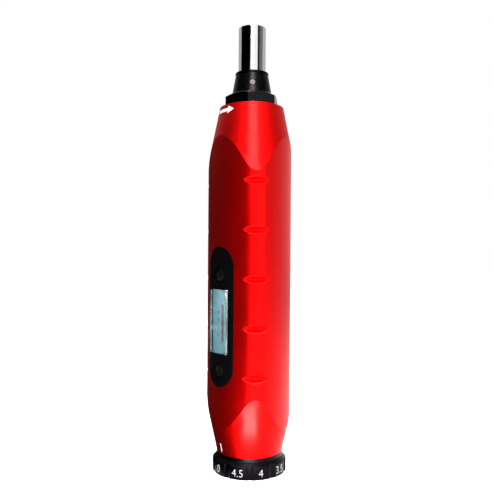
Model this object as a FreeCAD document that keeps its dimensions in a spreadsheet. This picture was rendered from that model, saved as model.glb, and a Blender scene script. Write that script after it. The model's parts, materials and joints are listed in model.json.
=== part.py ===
import FreeCAD, Part
import os
import re

import Sketcher
from FreeCAD import Placement, Rotation, Vector

# Torque screwdriver with a micrometer setting.
#
# Frame: the origin is the centre of the dial ring's flat base, +Z runs along the tool's
# axis to the bit holder, and -Y is the middle of the face that carries the window.
# An azimuth is counted from -Y towards +X. All sizes are in millimetres or degrees.

SIZES = [
    # dial ring
    ("ring_radius", 15.33),
    ("ring_height", 8.0),
    ("ring_band_height", 5.1),
    ("ring_shoulder_height", 6.7),
    ("ring_neck_radius", 13.7),
    ("ring_edge", 0.35),
    ("ring_web", 2.6),
    ("ring_bowl_radius", 11.6),
    ("ring_hub_radius", 7.4),
    ("ring_groove_count", 10),
    ("ring_groove_radius", 2.2),
    ("ring_groove_depth", 0.63),
    ("ring_screw_radius", 1.5),
    # housing
    ("ring_gap", 0.1),
    ("housing_length", 142.8),
    ("rear_rim_radius", 13.6),
    ("front_rim_radius", 13.35),
    ("rear_cone_slope", 0.227),
    ("front_cone_slope", 0.206),
    ("face_reach", 16.0),
    ("corner_reach", 19.2),
    ("corner_radius", 8.0),
    ("rim_edge", 0.25),
    ("bore_radius", 9.6),
    ("rear_thread_radius", 11.0),
    ("rear_thread_depth", 9.4),
    ("front_thread_radius", 10.5),
    ("front_thread_depth", 10.3),
    # finger scallops on the three corners
    ("scallop_count", 5),
    ("scallop_pitch", 19.5),
    ("scallop_start", 32.8),
    ("scallop_width", 3.7),
    ("scallop_floor", 0.6),
    ("scallop_depth", 1.7),
    # window
    ("bezel_width", 17.0),
    ("bezel_length", 57.0),
    ("bezel_middle", 56.3),
    ("bezel_thickness", 2.4),
    ("bezel_fit", 0.05),
    ("lens_width", 12.0),
    ("lens_length", 26.0),
    ("lens_shift", 1.9),
    ("lens_proud", 0.25),
    ("lens_edge", 0.35),
    ("flange_lip", 0.35),
    ("flange_thickness", 1.4),
    ("scale_thickness", 0.5),
    ("scale_slot_width", 1.8),
    ("scale_slot_length", 15.3),
    ("scale_slot_shift", 0.95),
    ("window_screw_spacing", 38.8),
    ("window_screw_shift", 2.6),
    ("window_screw_radius", 1.1),
    ("window_screw_depth", 1.6),
    ("screw_head_radius", 3.2),
    ("screw_head_height", 1.3),
    ("screw_head_recess", 0.35),
    ("screw_key_width", 1.5),
    ("screw_key_depth", 0.7),
    # setting slide and its keyway
    ("keyway_width", 5.2),
    ("keyway_room", 0.07),
    ("keyway_length", 80.0),
    ("slide_side_gap", 0.05),
    ("slide_top_gap", 0.12),
    ("slide_thickness", 0.85),
    ("slide_margin", 0.4),
    ("mark_width", 0.35),
    ("mark_depth", 0.12),
    ("mark_shift", 3.1),
    ("slide_screw_radius", 0.8),
    ("slide_screw_spacing", 6.0),
    ("slide_screw_depth", 3.0),
    # lead screw and carriage
    ("lead_radius", 4.0),
    ("running_clearance", 0.05),
    ("collar_radius", 6.6),
    ("collar_thickness", 2.5),
    ("washer_radius", 7.6),
    ("washer_thickness", 1.0),
    ("rear_bush_recess", 0.5),
    ("spanner_hole_radius", 1.05),
    ("spanner_hole_depth", 2.4),
    ("drag_ring_width", 0.84),
    ("carriage_length", 12.0),
    ("carriage_gap", 0.6),
    ("carriage_travel", 12.0),
    ("slide_clearance", 0.07),
    ("lead_run_out", 2.0),
    # main spring and its seat
    ("spring_inner_radius", 5.7),
    ("spring_wire_width", 2.6),
    ("spring_wire_height", 2.4),
    ("spring_turns", 8),
    ("seat_thickness", 2.0),
    ("seat_collar_height", 3.0),
    ("seat_collar_gap", 0.2),
    ("face_gap", 0.05),
    # cams
    ("cam_teeth", 6),
    ("cam_ramp_angle", 59.0),
    ("cam_ramp_height", 1.6),
    ("cam_inner_radius", 5.0),
    ("cam_base_height", 6.0),
    ("drive_cam_gap", 0.4),
    ("pressure_cam_height", 8.0),
    ("guide_pin_radius", 1.2),
    ("guide_pin_length", 9.5),
    ("guide_pin_stop", 0.4),
    ("cam_pin_radius", 1.25),
    # thrust roller bearing
    ("race_thickness", 1.5),
    ("race_inner_radius", 4.4),
    ("roller_radius", 1.0),
    ("roller_length", 2.8),
    ("roller_count", 12),
    ("roller_inner_radius", 5.6),
    ("roller_gap", 0.02),
    ("cage_thickness", 1.0),
    ("cage_rim", 0.6),
    # nose
    ("nut_flats", 20.4),
    ("nut_turn", 45.3),
    ("nut_height", 6.0),
    ("nut_chamfer_radius", 8.3),
    ("nut_chamfer_height", 1.9),
    ("boss_radius", 8.3),
    ("boss_tip_radius", 6.95),
    ("boss_height", 7.5),
    ("boss_step_radius", 6.6),
    ("boss_step_height", 0.5),
    ("bush_wall", 0.8),
    ("bush_end_wall", 1.4),
    ("nose_screw_radius", 1.1),
    ("nose_screw_height", 3.5),
    ("nose_screw_turn", 55.0),
    ("nose_screw_recess", 0.3),
    # bit socket
    ("socket_radius", 5.75),
    ("socket_length", 34.8),
    ("socket_stand_out", 20.4),
    ("socket_edge", 0.25),
    ("socket_edge_height", 0.4),
    ("hexagon_flats", 6.35),
    ("hexagon_depth", 13.0),
    ("magnet_radius", 2.8),
    ("magnet_height", 4.0),
    ("clip_wire_width", 0.6),
    ("clip_depth", 4.5),
    ("clip_gap_angle", 40.0),
    ("snap_ring_thickness", 0.65),
    ("snap_ring_radius", 6.95),
    ("snap_ring_groove", 5.2),
    ("snap_ring_fit", 0.05),
    ("snap_ring_opening", 30.0),
    ("snap_ring_turn", 159.0),
    ("shaft_radius", 3.6),
    ("socket_pin_radius", 1.0),
    ("socket_pin_height", 5.0),
    ("pilot_length", 7.0),
]

NAMES = {name for name, size in SIZES}

# Heights along the axis, as expressions of the sizes above.
RIM_REAR = "(ring_height + ring_gap)"
RIM_FRONT = f"({RIM_REAR} + housing_length)"
REAR_BUSH_REAR = f"({RIM_REAR} + rear_bush_recess)"
REAR_BUSH_FRONT = f"({RIM_REAR} + rear_thread_depth)"
WASHER_FRONT = f"({REAR_BUSH_FRONT} + washer_thickness)"
COLLAR_REAR = f"({WASHER_FRONT} + face_gap)"
COLLAR_FRONT = f"({COLLAR_REAR} + collar_thickness)"
CARRIAGE_REAR = f"({COLLAR_FRONT} + carriage_gap)"
CARRIAGE_FRONT = f"({CARRIAGE_REAR} + carriage_length)"
SPRING_REAR = f"({CARRIAGE_FRONT} + face_gap)"
NUT_REAR = f"({RIM_FRONT} - front_thread_depth)"
RACE_REAR = f"({NUT_REAR} - race_thickness)"
ROLLER_MIDDLE = f"({RACE_REAR} - roller_radius - roller_gap)"
RACE_FRONT = f"({ROLLER_MIDDLE} - roller_radius - roller_gap)"
DRIVE_CAM_FRONT = f"({RACE_FRONT} - race_thickness)"
DRIVE_CAM_VALLEY = f"({DRIVE_CAM_FRONT} - cam_base_height)"
DRIVE_CAM_CREST = f"({DRIVE_CAM_VALLEY} - cam_ramp_height)"
PRESSURE_CAM_VALLEY = f"({DRIVE_CAM_CREST} - face_gap)"
PRESSURE_CAM_REAR = f"({PRESSURE_CAM_VALLEY} - pressure_cam_height)"
SEAT_FRONT = f"({PRESSURE_CAM_REAR} - face_gap)"
SEAT_REAR = f"({SEAT_FRONT} - seat_thickness)"
SPRING_FRONT = f"({SEAT_REAR} - face_gap)"
NUT_FRONT = f"({RIM_FRONT} + nut_height)"
BOSS_FRONT = f"({NUT_FRONT} + boss_height)"
NOSE_END = f"({BOSS_FRONT} + boss_step_height)"
BUSH_FRONT = f"({BOSS_FRONT} - bush_end_wall)"
SNAP_RING_REAR = f"({NOSE_END} + face_gap)"
SOCKET_MOUTH = f"({BOSS_FRONT} + socket_stand_out)"
SOCKET_REAR = f"({SOCKET_MOUTH} - socket_length)"
HEXAGON_BOTTOM = f"({SOCKET_MOUTH} - hexagon_depth)"
MAGNET_BOTTOM = f"({HEXAGON_BOTTOM} - magnet_height)"
SHAFT_FRONT = f"({MAGNET_BOTTOM} - socket_pin_radius)"
SHAFT_REAR = f"({PRESSURE_CAM_VALLEY} - pilot_length)"

# The drag ring lies in a groove half way along the rear bush.
DRAG_RING_OUTER = "(lead_radius + running_clearance + drag_ring_width)"
DRAG_RING_REAR = f"(({REAR_BUSH_REAR} + {REAR_BUSH_FRONT} - drag_ring_width) / 2)"
DRAG_RING_FRONT = f"({DRAG_RING_REAR} + drag_ring_width)"

# Distances from the axis towards the window, and heights of the window's middle lines.
BEZEL_SEAT = "(face_reach - bezel_thickness)"
BEZEL_MIDDLE = f"({RIM_REAR} + bezel_middle)"
LENS_MIDDLE = f"({BEZEL_MIDDLE} - lens_shift)"
SLOT_MIDDLE = f"({LENS_MIDDLE} - scale_slot_shift)"
WINDOW_SCREW_MIDDLE = f"({BEZEL_MIDDLE} - window_screw_shift)"
FLANGE_WIDTH = "(lens_width + 2 * flange_lip)"
FLANGE_LENGTH = "(lens_length + 2 * flange_lip)"
FLANGE_SEAT = f"({BEZEL_SEAT} - flange_thickness - bezel_fit)"
SCALE_SEAT = f"({FLANGE_SEAT} - scale_thickness)"
SLIDE_TOP = f"({SCALE_SEAT} - slide_top_gap)"
SLIDE_SEAT = f"({SLIDE_TOP} - slide_thickness)"
KEYWAY_REACH = f"({SLIDE_TOP} + keyway_room)"

# The three faces are arcs. Their radius follows from the reach of the faces and corners.
FACE_ARC_RADIUS = (
    "((face_reach * face_reach + (corner_reach - corner_radius) * (corner_reach - corner_radius)"
    " - face_reach * (corner_reach - corner_radius) - corner_radius * corner_radius)"
    " / (2 * face_reach - corner_reach - corner_radius))"
)
FACE_ARC_OFFSET = f"({FACE_ARC_RADIUS} - face_reach)"
CLEAR_OF_GRIP = "(corner_reach + face_reach)"

doc = FreeCAD.newDocument("torque_screwdriver")
sheet = doc.addObject("Spreadsheet::Sheet", "sizes")
for row, (name, size) in enumerate(SIZES, start=1):
    sheet.set(f"A{row}", name)
    sheet.set(f"B{row}", str(size))
    sheet.setAlias(f"B{row}", name)
doc.recompute()


def qualified(expression):
    """The expression with each size name written as a cell of the sheet."""
    return re.sub(r"[a-z_]+", lambda m: f"sizes.{m[0]}" if m[0] in NAMES else m[0], expression)


def value(expression):
    """The number that an expression of the sizes has now."""
    return float(sheet.evalExpression(qualified(expression)))


def bind(item, path, expression):
    """Set a property by an expression of the sizes."""
    item.setExpression(path, qualified(expression))


def new_body(label):
    """An empty body for one piece."""
    body = doc.addObject("PartDesign::Body", label)
    body.Label = label
    return body


def new_sketch(body, role, offset="0"):
    """A sketch on one of the body's origin planes, moved along the plane's normal."""
    sketch = body.newObject("Sketcher::SketchObject", f"{body.Name}_sketch")
    plane = next(item for item in body.Origin.OriginFeatures if item.Role == role)
    sketch.AttachmentSupport = [(plane, "")]
    sketch.MapMode = "FlatFace"
    bind(sketch, ".AttachmentOffset.Base.z", offset)
    return sketch


def constrain(sketch, kind, places, expression):
    """A dimension of the sketch, set by an expression."""
    index = sketch.addConstraint(Sketcher.Constraint(kind, *places, value(expression)))
    bind(sketch, f"Constraints[{index}]", expression)


def place_point(sketch, geometry, end, across, up):
    """Hold one point of the geometry at a place counted from the sketch's origin."""
    constrain(sketch, "DistanceX", (-1, 1, geometry, end), across)
    constrain(sketch, "DistanceY", (-1, 1, geometry, end), up)


def polygon(sketch, corners):
    """A closed outline of straight lines with each corner held in place."""
    points = [Vector(value(across), value(up), 0) for across, up in corners]
    first = sketch.GeometryCount
    last = first + len(points) - 1
    for index, start in enumerate(points):
        end = points[(index + 1) % len(points)]
        sketch.addGeometry(Part.LineSegment(start, end), False)
    for index, (across, up) in enumerate(corners):
        line = first + index
        before = last if line == first else line - 1
        sketch.addConstraint(Sketcher.Constraint("Coincident", before, 2, line, 1))
        place_point(sketch, line, 1, across, up)


def rectangle(sketch, left, right, low, high):
    """An upright rectangle."""
    polygon(sketch, [(left, low), (right, low), (right, high), (left, high)])


def circle(sketch, radius, across="0", up="0"):
    """A circle with its centre held in place."""
    centre = Vector(value(across), value(up), 0)
    index = sketch.addGeometry(Part.Circle(centre, Vector(0, 0, 1), value(radius)), False)
    place_point(sketch, index, 3, across, up)
    constrain(sketch, "Radius", (index,), radius)


def ring(sketch, inner, outer):
    """Two circles around the axis."""
    circle(sketch, inner)
    circle(sketch, outer)


def hexagon(sketch, flats, turn):
    """A regular hexagon around the axis with one corner at the given azimuth."""
    corner = f"({flats} / 2 / cos(30))"
    angles = [f"({turn} - 90 + {60 * side})" for side in range(6)]
    polygon(sketch, [(f"{corner} * cos({angle})", f"{corner} * sin({angle})") for angle in angles])


def stadium(sketch, width, length, middle):
    """An upright slot outline with round ends."""
    half = value(width) / 2
    top = value(middle) + value(length) / 2 - half
    foot = value(middle) - value(length) / 2 + half
    first = sketch.GeometryCount
    upward = Vector(0, 0, 1)
    upper = Part.Circle(Vector(0, top, 0), upward, half)
    lower = Part.Circle(Vector(0, foot, 0), upward, half)
    sketch.addGeometry(Part.ArcOfCircle(upper, 0, 3.14159265), False)
    sketch.addGeometry(Part.LineSegment(Vector(-half, top, 0), Vector(-half, foot, 0)), False)
    sketch.addGeometry(Part.ArcOfCircle(lower, 3.14159265, 6.2831853), False)
    sketch.addGeometry(Part.LineSegment(Vector(half, foot, 0), Vector(half, top, 0)), False)
    for side in range(4):
        ends = (first + side, 2, first + (side + 1) % 4, 1)
        sketch.addConstraint(Sketcher.Constraint("Tangent", *ends))
    place_point(sketch, first, 3, "0", f"{middle} + {length} / 2 - {width} / 2")
    place_point(sketch, first + 2, 3, "0", f"{middle} - {length} / 2 + {width} / 2")
    constrain(sketch, "Radius", (first,), f"{width} / 2")


def pad(body, sketch, length, down=False):
    """Material from the sketch along its normal."""
    feature = body.newObject("PartDesign::Pad", f"{body.Name}_pad")
    feature.Profile = sketch
    feature.Reversed = down
    bind(feature, "Length", length)
    return feature


def pocket(body, sketch, length, along_normal=False, midplane=False):
    """A cut from the sketch against its normal, or along it, or half each way."""
    feature = body.newObject("PartDesign::Pocket", f"{body.Name}_pocket")
    feature.Profile = sketch
    feature.Reversed = along_normal
    feature.Midplane = midplane
    bind(feature, "Length", length)
    return feature


def turned(body, kind, sketch, axis="V_Axis"):
    """A full turn of the sketch about one of its axes: a Revolution or a Groove."""
    feature = body.newObject(f"PartDesign::{kind}", f"{body.Name}_{kind.lower()}")
    feature.Profile = sketch
    feature.ReferenceAxis = (sketch, [axis])
    feature.Angle = 360
    return feature


def turn_up(body, corners):
    """A turned solid from its half section, as (radius, height) pairs."""
    sketch = new_sketch(body, "XZ_Plane")
    polygon(sketch, corners)
    return turned(body, "Revolution", sketch)


def turn_away(body, corners):
    """A turned cut from its half section, as (radius, height) pairs."""
    sketch = new_sketch(body, "XZ_Plane")
    polygon(sketch, corners)
    return turned(body, "Groove", sketch)


def repeat_round(body, feature, count):
    """Copies of a feature, evenly spaced around the axis."""
    axis = next(item for item in body.Origin.OriginFeatures if item.Role == "Z_Axis")
    pattern = body.newObject("PartDesign::PolarPattern", f"{body.Name}_pattern")
    pattern.Originals = [feature]
    pattern.Axis = (axis, [""])
    pattern.Angle = 360
    bind(pattern, "Occurrences", count)
    body.Tip = pattern
    return pattern


def radial_sketch(body, turn):
    """A sketch whose normal points away from the axis at the given azimuth."""
    sketch = new_sketch(body, "XZ_Plane")
    sketch.AttachmentOffset = Placement(Vector(0, 0, 0), Rotation(Vector(0, 1, 0), value(turn)))
    bind(sketch, ".AttachmentOffset.Rotation.Angle", turn)
    return sketch


def radial_hole(body, radius, turn, height, reach):
    """A round hole from the axis outwards at an azimuth."""
    sketch = radial_sketch(body, turn)
    circle(sketch, radius, "0", height)
    return pocket(body, sketch, reach, along_normal=True)


def cross_hole(body, radius, height, length):
    """A round hole straight through the axis, along X."""
    sketch = new_sketch(body, "YZ_Plane")
    circle(sketch, radius, "0", height)
    return pocket(body, sketch, length, midplane=True)


def round_bar(label, radius, rear, front):
    """A plain round bar on the axis."""
    body = new_body(label)
    sketch = new_sketch(body, "XY_Plane", rear)
    circle(sketch, radius)
    pad(body, sketch, f"{front} - {rear}")
    return body


def flat_ring(label, inner, outer, rear, front):
    """A flat ring around the axis."""
    body = new_body(label)
    sketch = new_sketch(body, "XY_Plane", rear)
    ring(sketch, inner, outer)
    pad(body, sketch, f"{front} - {rear}")
    return body


def cross_bar(label, radius, height, length):
    """A round pin straight through the axis, along X."""
    body = new_body(label)
    sketch = new_sketch(body, "YZ_Plane")
    circle(sketch, radius, "0", height)
    pad(body, sketch, length).Midplane = True
    return body


def three_sided(sketch):
    """The grip's section: three arched faces that run smoothly into three round corners."""
    upward = Vector(0, 0, 1)
    pole = Vector(0, -1, 0)
    face_radius = value(FACE_ARC_RADIUS)
    face_offset = value(FACE_ARC_OFFSET)
    corner_offset = value("corner_reach - corner_radius")
    first = sketch.GeometryCount
    for side in range(3):
        to_face = Rotation(upward, 120 * side).multVec(pole)
        to_corner = Rotation(upward, 120 * side + 60).multVec(pole)
        before_corner = Rotation(upward, 120 * side - 60).multVec(pole)
        face_centre = to_face * -face_offset
        joints = []
        for corner in (before_corner, to_corner):
            corner_centre = corner * corner_offset
            outward = (corner_centre - face_centre).normalize()
            joints.append(face_centre + outward * face_radius)
        face_mid = to_face * value("face_reach")
        face = Part.Arc(joints[0], face_mid, joints[1])
        sketch.addGeometry(face, False)
        after_face = Rotation(upward, 120).multVec(joints[0])
        corner_mid = to_corner * value("corner_reach")
        sketch.addGeometry(Part.Arc(joints[1], corner_mid, after_face), False)
    for index in range(6):
        ends = (first + index, 2, first + (index + 1) % 6, 1)
        sketch.addConstraint(Sketcher.Constraint("Tangent", *ends))
    for side in range(3):
        angle = 120 * side - 30
        reach = "(corner_reach - corner_radius)"
        corner = first + 2 * side + 1
        place_point(sketch, corner, 3, f"{reach} * cos({angle})", f"{reach} * sin({angle})")
        constrain(sketch, "Radius", (corner,), "corner_radius")
        constrain(sketch, "Radius", (corner - 1,), FACE_ARC_RADIUS)


def window_box(body, kind, width, length, middle, seat, depth):
    """A box in front of a seat plane, upright on the window's face, added or cut away."""
    sketch = new_sketch(body, "XZ_Plane", seat)
    low = f"{middle} - {length} / 2"
    high = f"{middle} + {length} / 2"
    rectangle(sketch, f"-{width} / 2", f"{width} / 2", low, high)
    if kind == "cut":
        return pocket(body, sketch, depth, along_normal=True)
    return pad(body, sketch, depth)


def window_screw_holes(body, seat, radius, depth, into=True):
    """Two round cuts on the window's centre line."""
    sketch = new_sketch(body, "XZ_Plane", seat)
    for side in ("+", "-"):
        circle(sketch, radius, "0", f"{WINDOW_SCREW_MIDDLE} {side} window_screw_spacing / 2")
    return pocket(body, sketch, depth, along_normal=not into)


def make_housing():
    """The grip: a three-sided bar, coned at both ends, bored and recessed for the window."""
    body = new_body("housing")
    blank = new_sketch(body, "XY_Plane", RIM_REAR)
    three_sided(blank)
    pad(body, blank, "housing_length")

    far = CLEAR_OF_GRIP
    rear_cone_end = f"{RIM_REAR} + ({far} - rear_rim_radius) / rear_cone_slope"
    turn_away(body, [("rear_rim_radius", RIM_REAR), (far, RIM_REAR), (far, rear_cone_end)])
    front_cone_end = f"{RIM_FRONT} - ({far} - front_rim_radius) / front_cone_slope"
    turn_away(body, [("front_rim_radius", RIM_FRONT), (far, front_cone_end), (far, RIM_FRONT)])

    turn_away(
        body,
        [
            ("0", RIM_REAR),
            ("rear_thread_radius", RIM_REAR),
            ("rear_thread_radius", REAR_BUSH_FRONT),
            ("bore_radius", REAR_BUSH_FRONT),
            ("bore_radius", NUT_REAR),
            ("front_thread_radius", NUT_REAR),
            ("front_thread_radius", RIM_FRONT),
            ("0", RIM_FRONT),
        ],
    )

    keyway = new_sketch(body, "XY_Plane", RIM_REAR)
    half_key = "keyway_width / 2"
    rectangle(keyway, f"-{half_key}", half_key, f"-{KEYWAY_REACH}", "0 - bore_radius / 2")
    pocket(body, keyway, "keyway_length", along_normal=True)

    recess = new_sketch(body, "XZ_Plane", BEZEL_SEAT)
    stadium(recess, "(bezel_width + 2 * bezel_fit)", "(bezel_length + 2 * bezel_fit)", BEZEL_MIDDLE)
    pocket(body, recess, "corner_reach", along_normal=True)
    pit_width = f"({FLANGE_WIDTH} + 2 * bezel_fit)"
    pit_length = f"({FLANGE_LENGTH} + 2 * bezel_fit)"
    window_box(body, "cut", pit_width, pit_length, LENS_MIDDLE, SCALE_SEAT, "corner_reach")
    window_screw_holes(body, BEZEL_SEAT, "window_screw_radius", "window_screw_depth")

    guides = new_sketch(body, "XY_Plane", NUT_REAR)
    for side in ("-", ""):
        circle(guides, "guide_pin_radius", f"{side}bore_radius", "0")
    guide_rear = f"({PRESSURE_CAM_VALLEY} - guide_pin_stop - guide_pin_length)"
    pocket(body, guides, f"{NUT_REAR} - {guide_rear}")

    scallops = new_sketch(body, "YZ_Plane")
    floor, mouth = "corner_reach - scallop_depth", "corner_reach + scallop_depth"
    half_floor, half_mouth = "scallop_floor / 2", "(scallop_width - scallop_floor / 2)"
    for index in range(int(value("scallop_count"))):
        height = f"{RIM_REAR} + scallop_start + {index} * scallop_pitch"
        polygon(
            scallops,
            [
                (floor, f"{height} - {half_floor}"),
                (mouth, f"{height} - {half_mouth}"),
                (mouth, f"{height} + {half_mouth}"),
                (floor, f"{height} + {half_floor}"),
            ],
        )
    cuts = pocket(body, scallops, "4 * corner_radius", midplane=True)
    repeat_round(body, cuts, "3")
    return body


def make_dial_ring():
    """The setting ring: a fluted band on a closed base, with a hub for the lead screw."""
    body = new_body("dial_ring")
    turn_up(
        body,
        [
            ("0", "0"),
            ("ring_radius - ring_edge", "0"),
            ("ring_radius", "ring_edge"),
            ("ring_radius", "ring_band_height"),
            ("ring_neck_radius", "ring_shoulder_height"),
            ("ring_neck_radius", "ring_height"),
            ("ring_bowl_radius", "ring_height"),
            ("ring_bowl_radius", "ring_web"),
            ("ring_hub_radius", "ring_web"),
            ("ring_hub_radius", "ring_height"),
            ("lead_radius", "ring_height"),
            ("lead_radius", "ring_web"),
            ("0", "ring_web"),
        ],
    )
    flute = new_sketch(body, "XY_Plane")
    reach = "(ring_radius - ring_groove_depth + ring_groove_radius)"
    turn = "(180 / ring_groove_count - 90)"
    circle(flute, "ring_groove_radius", f"{reach} * cos({turn})", f"{reach} * sin({turn})")
    cut = pocket(body, flute, "ring_height", along_normal=True)
    repeat_round(body, cut, "ring_groove_count")
    for turn in RING_SCREW_TURNS:
        radial_hole(body, "ring_screw_radius", turn, RING_SCREW_HEIGHT, "ring_radius")
    return body


# The grub screws sit in two of the ring's grooves, at the back of the ring.
RING_SCREW_TURNS = [f"(180 / ring_groove_count + {step} * 360 / ring_groove_count)" for step in (4, 7)]
RING_SCREW_HEIGHT = "((ring_web + ring_height) / 2 - ring_edge)"


def make_ring_grub_screws():
    """Two grub screws, each from the lead screw to the outside of the hub."""
    body = new_body("ring_grub_screws")
    for turn in RING_SCREW_TURNS:
        sketch = radial_sketch(body, turn)
        circle(sketch, "ring_screw_radius", "0", RING_SCREW_HEIGHT)
        pad(body, sketch, "ring_hub_radius")
    turn_away(
        body,
        [("0", "0"), ("lead_radius", "0"), ("lead_radius", "ring_height"), ("0", "ring_height")],
    )
    return body


def make_lead_screw():
    """The setting screw, with the collar that takes the spring's thrust."""
    body = new_body("lead_screw")
    front = f"({CARRIAGE_FRONT} + carriage_travel + lead_run_out)"
    turn_up(
        body,
        [
            ("0", "ring_web"),
            ("lead_radius", "ring_web"),
            ("lead_radius", COLLAR_REAR),
            ("collar_radius", COLLAR_REAR),
            ("collar_radius", COLLAR_FRONT),
            ("lead_radius", COLLAR_FRONT),
            ("lead_radius", f"{front} - ring_edge"),
            ("lead_radius - ring_edge", front),
            ("0", front),
        ],
    )
    return body


def make_rear_bush():
    """The plug that closes the grip: it carries the lead screw and holds the drag ring."""
    body = new_body("rear_bush")
    bore = "(lead_radius + running_clearance)"
    groove = DRAG_RING_OUTER
    turn_up(
        body,
        [
            (bore, REAR_BUSH_REAR),
            ("rear_thread_radius", REAR_BUSH_REAR),
            ("rear_thread_radius", REAR_BUSH_FRONT),
            (bore, REAR_BUSH_FRONT),
            (bore, DRAG_RING_FRONT),
            (groove, DRAG_RING_FRONT),
            (groove, DRAG_RING_REAR),
            (bore, DRAG_RING_REAR),
        ],
    )
    spanner = new_sketch(body, "XY_Plane", REAR_BUSH_REAR)
    for side in ("-", ""):
        across = f"{side}(rear_thread_radius + lead_radius) / 2"
        circle(spanner, "spanner_hole_radius", across, "0")
    pocket(body, spanner, "spanner_hole_depth", along_normal=True)
    return body


def make_carriage_nut():
    """The nut on the lead screw, with the key that runs in the housing's keyway."""
    body = new_body("carriage_nut")
    sketch = new_sketch(body, "XY_Plane", CARRIAGE_REAR)
    circle(sketch, "bore_radius - slide_clearance")
    pad(body, sketch, "carriage_length")
    key = new_sketch(body, "XY_Plane", CARRIAGE_REAR)
    half = "(keyway_width / 2 - slide_side_gap)"
    rectangle(key, f"-{half}", half, f"-{SLIDE_SEAT}", "0 - lead_radius")
    pad(body, key, "carriage_length")
    bore = new_sketch(body, "XY_Plane", CARRIAGE_REAR)
    circle(bore, "lead_radius + running_clearance")
    pocket(body, bore, "carriage_length", along_normal=True)
    holes = new_sketch(body, "XZ_Plane", SLIDE_SEAT)
    for side in ("+", "-"):
        circle(holes, "slide_screw_radius", "0", f"{SLIDE_SCREW_MIDDLE} {side} slide_screw_spacing / 2")
    pocket(body, holes, "slide_screw_depth")
    return body


SLIDE_SCREW_MIDDLE = f"({CARRIAGE_REAR} + carriage_length / 2)"


def make_setting_slide():
    """The strip on the carriage. It fills the slot of the scale, and its mark shows the setting."""
    body = new_body("setting_slide")
    front = f"({SLOT_MIDDLE} + scale_slot_length / 2 + slide_margin)"
    sketch = new_sketch(body, "XZ_Plane", SLIDE_SEAT)
    half = "(keyway_width / 2 - slide_side_gap)"
    rectangle(sketch, f"-{half}", half, CARRIAGE_REAR, front)
    pad(body, sketch, "slide_thickness")
    mark = new_sketch(body, "XZ_Plane", SLIDE_TOP)
    height = f"({SLOT_MIDDLE} - scale_slot_length / 2 + mark_shift)"
    rectangle(mark, f"-{half}", half, f"{height} - mark_width / 2", f"{height} + mark_width / 2")
    pocket(body, mark, "mark_depth")
    holes = new_sketch(body, "XZ_Plane", SLIDE_TOP)
    for side in ("+", "-"):
        circle(holes, "slide_screw_radius", "0", f"{SLIDE_SCREW_MIDDLE} {side} slide_screw_spacing / 2")
    pocket(body, holes, "slide_thickness")
    return body


def make_slide_screws():
    """Two screws through the setting slide into the carriage's key."""
    body = new_body("slide_screws")
    shanks = new_sketch(body, "XZ_Plane", SLIDE_TOP)
    for side in ("+", "-"):
        circle(shanks, "slide_screw_radius", "0", f"{SLIDE_SCREW_MIDDLE} {side} slide_screw_spacing / 2")
    pad(body, shanks, "slide_screw_depth + slide_thickness", down=True)
    return body


def make_main_spring():
    """The torque spring: rectangular wire with a closed coil at each end."""
    body = new_body("main_spring")
    outer = "(spring_inner_radius + spring_wire_width)"
    for start in (SPRING_REAR, f"{SPRING_FRONT} - spring_wire_height"):
        end_coil = new_sketch(body, "XY_Plane", start)
        ring(end_coil, "spring_inner_radius", outer)
        pad(body, end_coil, "spring_wire_height")
        if start == SPRING_REAR:
            wire = new_sketch(body, "XZ_Plane")
            high = f"{SPRING_REAR} + spring_wire_height"
            rectangle(wire, "spring_inner_radius", outer, SPRING_REAR, high)
            rise = f"({SPRING_FRONT} - {SPRING_REAR} - spring_wire_height)"
            coil = body.newObject("PartDesign::AdditiveHelix", "main_spring_coil")
            coil.Profile = wire
            coil.ReferenceAxis = (wire, ["V_Axis"])
            coil.Mode = "height-turns-angle"
            bind(coil, "Height", rise)
            bind(coil, "Turns", "spring_turns")
    return body


# The seat passes between the guide pins.
SEAT_OUTER = "(bore_radius - guide_pin_radius - slide_clearance)"


def make_spring_seat():
    """The washer between spring and pressure cam, with a collar that centres the spring."""
    body = new_body("spring_seat")
    bore = "(shaft_radius + slide_clearance)"
    collar = "(spring_inner_radius - seat_collar_gap)"
    turn_up(
        body,
        [
            (bore, f"{SEAT_REAR} - seat_collar_height"),
            (collar, f"{SEAT_REAR} - seat_collar_height"),
            (collar, SEAT_REAR),
            (SEAT_OUTER, SEAT_REAR),
            (SEAT_OUTER, SEAT_FRONT),
            (bore, SEAT_FRONT),
        ],
    )
    return body


def helical_ramp(body, start, outer, side):
    """One ramp of a face cam: a radial strip swept along a helix, then a full set of them."""
    sketch = new_sketch(body, "XZ_Plane")
    low = f"{start} - cam_ramp_height - face_gap"
    high = start
    if side == "rear":
        low = start
        high = f"{start} + cam_ramp_height + face_gap"
    rectangle(sketch, "cam_inner_radius", outer, low, high)
    ramp = body.newObject("PartDesign::AdditiveHelix", f"{body.Name}_ramp")
    ramp.Profile = sketch
    ramp.ReferenceAxis = (sketch, ["V_Axis"])
    ramp.Mode = "pitch-height-angle"
    ramp.LeftHanded = True
    bind(ramp, "Pitch", "cam_ramp_height * 360 / cam_ramp_angle")
    bind(ramp, "Height", "cam_ramp_height")
    return repeat_round(body, ramp, "cam_teeth")


def make_pressure_cam():
    """The sliding cam: its ramps rise against the turn that tightens."""
    body = new_body("pressure_cam")
    outer = "(bore_radius - slide_clearance)"
    base = new_sketch(body, "XY_Plane", PRESSURE_CAM_REAR)
    ring(base, "shaft_radius + slide_clearance", outer)
    pad(body, base, "pressure_cam_height")
    helical_ramp(body, PRESSURE_CAM_VALLEY, "bore_radius - drive_cam_gap", "front")
    guides = new_sketch(body, "XY_Plane", PRESSURE_CAM_REAR)
    for side in ("-", ""):
        circle(guides, "guide_pin_radius + slide_clearance", f"{side}bore_radius", "0")
    pocket(body, guides, "pressure_cam_height + 2 * cam_ramp_height", along_normal=True)
    return body


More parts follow.
